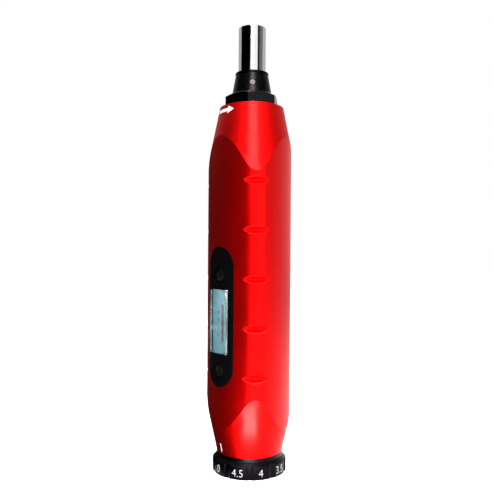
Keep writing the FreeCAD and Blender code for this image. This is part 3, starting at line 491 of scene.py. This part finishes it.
def finish_print(piece, material, body):
    """Thickness, material, slot and body of a print that lies in its place."""
    thicken(piece, PRINT_THICKNESS)
    piece.data.materials.clear()
    piece.data.materials.append(material)
    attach(piece, body)


print("print helpers ready")

# %% [markdown]
# The ring carries the fine scale of the torque setting, ten numbers for one
# turn, one between each pair of grooves. They are filled with white paint, and
# drawn a touch thinner than the font gives them.

# %% Numbers on the dial ring
RING_BAND_RADIUS = 15.33 * MM
RING_NUMBER_HEIGHT = 2.9 * MM
RING_NUMBER_MIDDLE = 2.75 * MM
RING_STEP, RING_OFFSET = 36.0, -1.0
RING_NUMBERS = ("0", "4.5", "4", "3.5", "3", "2.5", "2", "1.5", "1", "0.5")
for index, text in enumerate(RING_NUMBERS):
    number = flat_text(
        "ring_number_" + text.replace(".", "_"), text, RING_NUMBER_HEIGHT, 0.95, -0.012
    )
    cut_in_strips(number, STRIP_WIDTH)
    azimuth = RING_STEP * index + RING_OFFSET
    wrap_print(number, azimuth, RING_NUMBER_MIDDLE, RING_BAND_RADIUS)
    finish_print(number, white_print, "dial")
print("numbers on the ring:", len(RING_NUMBERS))

# %% [markdown]
# The handle carries two prints: a short index line just above the ring, which
# the ring's numbers are read against, and an arrow near the nose for the way
# the tool is turned. Both lie on the cones at the handle's ends. The line is a
# bar with clipped corners. The arrow is drawn out of a bar: its end edge is
# extruded, widened, and extruded again to a tip. A ray towards the axis finds
# the handle's surface under each point, so a print follows cone and flat alike.

# %% Prints on the cones
OUTSIDE = 50 * MM
handle_tree = BVHTree.FromObject(
    skins["housing"], bpy.context.evaluated_depsgraph_get()
)


def radius_under(height, azimuth):
    """How far the handle's surface is from the axis, measured on its mesh."""
    start = outwards(azimuth) * OUTSIDE + Vector((0, 0, height))
    place = handle_tree.ray_cast(start, -outwards(azimuth))[0]
    return Vector((place.x, place.y)).length


def lay_on_handle(piece, azimuth, height):
    """Lays a flat print on the handle, each point at the surface under it."""
    middle = radius_under(height, azimuth)
    for vertex in piece.data.vertices:
        up = height + vertex.co.y
        angle = azimuth + math.degrees(vertex.co.x / middle)
        radius = radius_under(up, angle) + PRINT_LIFT
        vertex.co = outwards(angle) * radius + Vector((0, 0, up))
    piece.data.update()


def flat_bar(name, width, height):
    """A flat bar in the XY plane with clipped corners, centred on the origin."""
    deselect()
    bpy.ops.mesh.primitive_plane_add(size=1.0, location=(0, 0, 0))
    piece = bpy.context.object
    piece.name = name
    piece.data.name = name
    bpy.ops.object.mode_set(mode="EDIT")
    bpy.ops.mesh.select_all(action="SELECT")
    bpy.ops.transform.resize(value=(width, height, 1))
    bpy.ops.mesh.bevel(offset=min(width, height) * 0.15, affect="VERTICES")
    bpy.ops.object.mode_set(mode="OBJECT")
    return piece


def flat_arrow(name, length, head_length, head_width, shaft_width):
    """A flat arrow: a bar whose end edge is drawn out, widened and closed to a tip."""
    deselect()
    bpy.ops.mesh.primitive_plane_add(size=1.0, location=(0, 0, 0))
    piece = bpy.context.object
    piece.name = name
    piece.data.name = name
    bpy.ops.object.mode_set(mode="EDIT")
    bpy.ops.mesh.select_all(action="SELECT")
    shaft_length = length - head_length
    bpy.ops.transform.resize(value=(shaft_length, shaft_width, 1))
    bpy.ops.transform.translate(value=(-head_length / 2, 0, 0))
    bpy.ops.mesh.select_mode(type="EDGE")
    bpy.ops.mesh.select_all(action="DESELECT")
    shape = bmesh.from_edit_mesh(piece.data)
    end = max(vertex.co.x for vertex in shape.verts)
    for edge in shape.edges:
        edge.select_set(all(vertex.co.x > end - 1e-7 for vertex in edge.verts))
    bmesh.update_edit_mesh(piece.data)
    barb = 0.02 * MM
    bpy.ops.mesh.extrude_region_move(TRANSFORM_OT_translate={"value": (barb, 0, 0)})
    bpy.ops.transform.resize(value=(1, head_width / shaft_width, 1))
    bpy.ops.mesh.extrude_region_move(
        TRANSFORM_OT_translate={"value": (head_length - barb, 0, 0)}
    )
    bpy.ops.transform.resize(value=(1, 0, 1))
    bpy.ops.mesh.select_all(action="SELECT")
    bpy.ops.mesh.remove_doubles(threshold=0.000001)
    bpy.ops.object.mode_set(mode="OBJECT")
    return piece


index_line = flat_bar("index_line", 0.5 * MM, 3.6 * MM)
lay_on_handle(index_line, 0.0, 11.0 * MM)
finish_print(index_line, white_print, "grip")

turn_arrow = flat_arrow("turn_arrow", 10.5 * MM, 3.0 * MM, 3.2 * MM, 1.3 * MM)
cut_in_strips(turn_arrow, STRIP_WIDTH)
lay_on_handle(turn_arrow, 0.0, 148.4 * MM)
finish_print(turn_arrow, white_print, "grip")
print("index line and arrow laid on the cones")

# %% [markdown]
# The window is a block of clear acrylic with softened edges. It is modelled a
# hair shorter than its solid at the back, so that a thin film of air lies
# between it and the scale plate, as on the real one. Light bends on its way in
# and out, and that brings the scale nearer to the eye.

# %% Window lens
lens_low, lens_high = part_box("window_lens")
LENS_WIDTH, LENS_LENGTH = 12.0 * MM, 26.0 * MM
AIR_FILM = 0.08 * MM
lens_front = lens_low.y
lens_back = lens_high.y - AIR_FILM
lens_middle = (lens_low.z + lens_high.z) / 2
deselect()
bpy.ops.mesh.primitive_cube_add(
    size=1.0,
    location=(0, (lens_front + lens_back) / 2, lens_middle),
    scale=(LENS_WIDTH, lens_back - lens_front, LENS_LENGTH),
)
lens = bpy.context.object
lens.name = "lens_block"
bpy.ops.object.transform_apply(location=True, rotation=True, scale=True)
bpy.ops.object.mode_set(mode="EDIT")
bpy.ops.mesh.select_all(action="SELECT")
bpy.ops.mesh.bevel(offset=0.35 * MM, segments=3, affect="EDGES")
bpy.ops.object.mode_set(mode="OBJECT")
bpy.ops.object.shade_smooth_by_angle(angle=math.radians(35))
lens.data.materials.append(clear_lens)
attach(lens, "grip")
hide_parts("window_lens")
print("lens front at", round(lens_front / MM, 2), "mm")

# %% [markdown]
# Two button-head screws hold the plate. A screw head starts as a disc, whose
# rim is drawn in and up step by step to a dome. A six-sided bar then cuts the
# recess for the key, which leaves a crisp edge.

# %% Window screws
SCREW_PLACES = (81.2 * MM, 42.4 * MM)
HEAD_RADIUS, HEAD_FRONT, HEAD_BASE = 3.15 * MM, -15.7 * MM, -14.2 * MM
RIM_HEIGHT = 0.4 * MM
DOME_STEPS, DOME_ANGLE = 6, 70.0
FLAT_SHARE = 0.42  # the part of the head's radius that the dome leaves flat
KEY_ACROSS, KEY_DEPTH = 2.5 * MM, 0.9 * MM


def dome_width(bend):
    """How wide the dome still is where its surface has bent by an angle."""
    return FLAT_SHARE + (1 - FLAT_SHARE) * math.cos(bend)


def button_screw(name, height):
    """A domed screw head, facing the window side, without its hexagon recess, which is cut
    afterwards.
    """
    deselect()
    bpy.ops.mesh.primitive_cylinder_add(
        vertices=48,
        radius=HEAD_RADIUS,
        depth=RIM_HEIGHT,
        location=(0, HEAD_BASE - RIM_HEIGHT / 2, height),
        rotation=(math.radians(90), 0, 0),
    )
    head = bpy.context.object
    head.name = name
    bpy.ops.object.transform_apply(location=True, rotation=True, scale=True)
    bpy.ops.object.mode_set(mode="EDIT")
    bpy.ops.mesh.select_mode(type="FACE")
    shape = bmesh.from_edit_mesh(head.data)
    for face in shape.faces:
        face.select_set(face.normal.y < -0.9)
    bmesh.update_edit_mesh(head.data)
    rise = abs(HEAD_FRONT - HEAD_BASE) - RIM_HEIGHT
    for step in range(1, DOME_STEPS + 1):
        bend = math.radians(DOME_ANGLE * step / DOME_STEPS)
        before = math.radians(DOME_ANGLE * (step - 1) / DOME_STEPS)
        lift = rise * (math.sin(bend) - math.sin(before)) / math.sin(math.radians(DOME_ANGLE))
        ratio = dome_width(bend) / dome_width(before)
        bpy.ops.mesh.extrude_region_move(TRANSFORM_OT_translate={"value": (0, -lift, 0)})
        bpy.ops.transform.resize(
            value=(ratio, 1, ratio), center_override=(0, HEAD_FRONT, height)
        )
    bpy.ops.object.mode_set(mode="OBJECT")
    return head


def cut_hexagon(head, height, across, depth):
    """Cuts the key's hexagon into a screw head."""
    deselect()
    bpy.ops.mesh.primitive_cylinder_add(
        vertices=6,
        radius=across / 2 / math.cos(math.radians(30)),
        depth=depth * 2,
        location=(0, HEAD_FRONT, height),
        rotation=(math.radians(90), 0, 0),
    )
    key = bpy.context.object
    cut = head.modifiers.new("key_recess", "BOOLEAN")
    cut.object = key
    cut.operation = "DIFFERENCE"
    select_only(head)
    bpy.ops.object.modifier_apply(modifier=cut.name)
    bpy.data.objects.remove(key)


for name, height in zip(("screw_head_front", "screw_head_rear"), SCREW_PLACES):
    head = button_screw(name, height)
    cut_hexagon(head, height, KEY_ACROSS, KEY_DEPTH)
    bpy.ops.object.shade_smooth_by_angle(angle=math.radians(35))
    head.data.materials.append(screw_steel)
    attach(head, "grip")
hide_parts("window_screws")
print("screw heads:", [round(h / MM, 1) for h in SCREW_PLACES])

# %% [markdown]
# The scale plate behind the window has a column of numbers and a row of ticks
# beside its slot. The slide's mark points at them.

# %% Scale behind the window
SCALE_FACE = -12.15 * MM
SLIDE_FACE = -11.55 * MM
SCALE_ZERO = 57.0  # heights and places on the scale are in millimetres
SCALE_PITCH = 3.0
TICK_START, TICK_COUNT, TICKS_PER_NUMBER = 1.15, 13, 4
LONG_TICK, SHORT_TICK, TICK_WIDTH = 1.5, 0.9, 0.18
NUMBER_PLACE = -2.6


def stand_on_scale(piece, across, height):
    """Stands a flat print on the scale plate, facing the window."""
    for vertex in piece.data.vertices:
        vertex.co = Vector(
            (across * MM + vertex.co.x, SCALE_FACE - PRINT_LIFT, height * MM + vertex.co.y)
        )
    piece.data.update()


for step, text in enumerate(("10", "20", "30", "40")):
    number = flat_text("scale_number_" + text, text, 1.5 * MM, 0.8)
    stand_on_scale(number, NUMBER_PLACE, SCALE_ZERO + SCALE_PITCH * step)
    finish_print(number, dark_print, "grip")

for step in range(TICK_COUNT):
    reach = SHORT_TICK if step % TICKS_PER_NUMBER else LONG_TICK
    tick = flat_bar(f"scale_tick_{step:02d}", reach * MM, TICK_WIDTH * MM)
    height = SCALE_ZERO + SCALE_PITCH * step / TICKS_PER_NUMBER
    stand_on_scale(tick, TICK_START + reach / 2, height)
    finish_print(tick, dark_print, "grip")

slide_mark = flat_bar("slide_mark", 1.6 * MM, 0.4 * MM)
for vertex in slide_mark.data.vertices:
    vertex.co = Vector((vertex.co.x, SLIDE_FACE, SCALE_ZERO * MM + vertex.co.y))
finish_print(slide_mark, mark_yellow, "carriage")
print("scale prints done")

# %% [markdown]
# The tool stands on a plain white floor in a white room. The camera and the
# mirror-like parts see full white, while the light that falls on the tool from
# the room is lower, so that the lamps shape it. The floor keeps a faint shadow.

# %% Room and floor
ROOM_LIGHT = 0.45
FLOOR_GLOW = 0.75

world = bpy.data.worlds.new("room")
bpy.context.scene.world = world
world.use_nodes = True
nodes, links = world.node_tree.nodes, world.node_tree.links
background = nodes["Background"]
path = nodes.new("ShaderNodeLightPath")
either = nodes.new("ShaderNodeMath")
either.operation = "MAXIMUM"
any_of = nodes.new("ShaderNodeMath")
any_of.operation = "MAXIMUM"
level = nodes.new("ShaderNodeMapRange")
level.inputs["To Min"].default_value = ROOM_LIGHT
level.inputs["To Max"].default_value = 1.0
links.new(path.outputs["Is Camera Ray"], either.inputs[0])
links.new(path.outputs["Is Glossy Ray"], either.inputs[1])
links.new(either.outputs[0], any_of.inputs[0])
links.new(path.outputs["Is Transmission Ray"], any_of.inputs[1])
links.new(any_of.outputs[0], level.inputs["Value"])
links.new(level.outputs["Result"], background.inputs["Strength"])
background.inputs["Color"].default_value = (1, 1, 1, 1)

deselect()
bpy.ops.mesh.primitive_plane_add(size=6.0, location=(0, 0, 0))
floor = bpy.context.object
floor.name = "floor"
floor_white = bpy.data.materials.new("floor_white")
floor_white.use_nodes = True
nodes, links = floor_white.node_tree.nodes, floor_white.node_tree.links
paper = nodes["Principled BSDF"]
paper.inputs["Base Color"].default_value = (0.9, 0.9, 0.9, 1)
paper.inputs["Roughness"].default_value = 0.9
paper.inputs["Specular IOR Level"].default_value = 0.0
glow = nodes.new("ShaderNodeEmission")
glow.inputs["Color"].default_value = (1, 1, 1, 1)
both = nodes.new("ShaderNodeAddShader")
path = nodes.new("ShaderNodeLightPath")
seen = nodes.new("ShaderNodeMath")
seen.operation = "MULTIPLY"
seen.inputs[1].default_value = FLOOR_GLOW
links.new(path.outputs["Is Camera Ray"], seen.inputs[0])
links.new(seen.outputs[0], glow.inputs["Strength"])
links.new(paper.outputs["BSDF"], both.inputs[0])
links.new(glow.outputs["Emission"], both.inputs[1])
links.new(both.outputs["Shader"], nodes["Material Output"].inputs["Surface"])
floor.data.materials.append(floor_white)
print("room light", ROOM_LIGHT)

# %% [markdown]
# A satin metal needs something to mirror. A large soft box above the camera
# makes the long highlight, one overhead catches the grips, and a small one
# close to the floor, turned upwards, lights the lower cone. Dark and grey
# cards stand round the tool as in a studio. They show only in reflections:
# those at handle height keep its left side deep, and those above it draw the
# dark and pale stripes on the chrome.

# %% Lamps and cards
TOOL_MIDDLE = Vector((0, 0, 0.09))


def direction(azimuth, elevation):
    """The direction from the tool to a lamp, by its azimuth and elevation."""
    e = math.radians(elevation)
    return outwards(azimuth) * math.cos(e) + Vector((0, 0, math.sin(e)))


def soft_box(name, azimuth, elevation, distance, width, height, power, aim=TOOL_MIDDLE):
    """A rectangular lamp that looks at the tool and isn't seen by the camera."""
    lamp_data = bpy.data.lights.new(name, "AREA")
    lamp_data.shape = "RECTANGLE"
    lamp_data.size, lamp_data.size_y = width, height
    lamp_data.energy = power
    lamp = bpy.data.objects.new(name, lamp_data)
    bpy.context.scene.collection.objects.link(lamp)
    lamp.location = aim + direction(azimuth, elevation) * distance
    lamp.rotation_mode = "QUATERNION"
    lamp.rotation_quaternion = (aim - lamp.location).to_track_quat("-Z", "Y")
    lamp.visible_camera = False
    return lamp


def card(name, from_azimuth, to_azimuth, radius, low, high, grey):
    """An upright curved card round the tool that only shows in reflections."""
    deselect()
    bpy.ops.mesh.primitive_plane_add(size=1.0)
    piece = bpy.context.object
    piece.name = name
    bpy.ops.object.mode_set(mode="EDIT")
    bpy.ops.mesh.select_all(action="SELECT")
    bpy.ops.mesh.subdivide(number_cuts=15)
    bpy.ops.object.mode_set(mode="OBJECT")
    for vertex in piece.data.vertices:
        azimuth = from_azimuth + (to_azimuth - from_azimuth) * (vertex.co.x + 0.5)
        height = low + (high - low) * (vertex.co.y + 0.5)
        vertex.co = outwards(azimuth) * radius + Vector((0, 0, height))
    material = bpy.data.materials.new(name)
    material.use_nodes = True
    nodes, links = material.node_tree.nodes, material.node_tree.links
    nodes.remove(nodes["Principled BSDF"])
    glow = nodes.new("ShaderNodeEmission")
    glow.inputs["Color"].default_value = (1, 1, 1, 1)
    glow.inputs["Strength"].default_value = grey
    links.new(glow.outputs["Emission"], nodes["Material Output"].inputs["Surface"])
    piece.data.materials.append(material)
    piece.visible_camera = False
    piece.visible_diffuse = False
    piece.visible_shadow = False
    piece.visible_transmission = False
    return piece


def floor_card(name, from_azimuth, to_azimuth, near, far, grey):
    """The same card, laid on the floor from near the tool to far from it."""
    piece = card(name, from_azimuth, to_azimuth, near, 0.0, 1.0, grey)
    for vertex in piece.data.vertices:
        across = Vector((vertex.co.x, vertex.co.y, 0)).normalized()
        vertex.co = across * (near + (far - near) * vertex.co.z) + Vector((0, 0, 0.4 * MM))
    return piece


FRONT = CAMERA_AZIMUTH
CARD_RADIUS, CARD_FOOT, CARD_SPLIT, CARD_TOP = 0.5, 0.0, 0.27, 0.55
soft_box("key_light", FRONT + 5, 37, 0.7, 0.26, 0.26, 6.0)
soft_box("top_light", FRONT - 10, 82, 0.6, 0.2, 0.2, 6.0)
soft_box("side_light", FRONT + 40, 1, 0.8, 0.55, 0.36, 0.8)
soft_box("nut_light", FRONT + 42, 15, 0.8, 0.11, 0.10, 0.4)
floor_lamp = soft_box(
    "floor_light", FRONT + 1, 0, 0.044, 0.022, 0.02, 0.11, Vector((0, 0, 0.002))
)
face_camera = Quaternion((0, 0, 1), math.radians(FRONT))
face_up = Quaternion((1, 0, 0), math.radians(180))
floor_lamp.rotation_quaternion = face_camera @ face_up

# name, from and to azimuth as seen from the camera, foot, top, grey level
CARDS = (
    ("dark_card_body", -165, -24, CARD_FOOT, CARD_SPLIT, 0.02),
    ("dark_card_top", -103, -13, CARD_SPLIT, CARD_TOP, 0.0),
    ("grey_card_left", -160, -103, CARD_SPLIT, CARD_TOP, 0.42),
    ("thin_dark_card", 46, 64, CARD_SPLIT, CARD_TOP, 0.01),
    ("grey_card_right", 64, 98, CARD_SPLIT, CARD_TOP, 0.16),
    ("pale_card_right", 98, 160, CARD_SPLIT, CARD_TOP, 0.5),
)
for name, start, end, foot, top, grey in CARDS:
    card(name, FRONT + start, FRONT + end, CARD_RADIUS, foot, top, grey)
floor_card("dark_card_floor", FRONT - 165, FRONT - 30, 0.018, 0.4, 0.03)
print("lamps and cards placed")
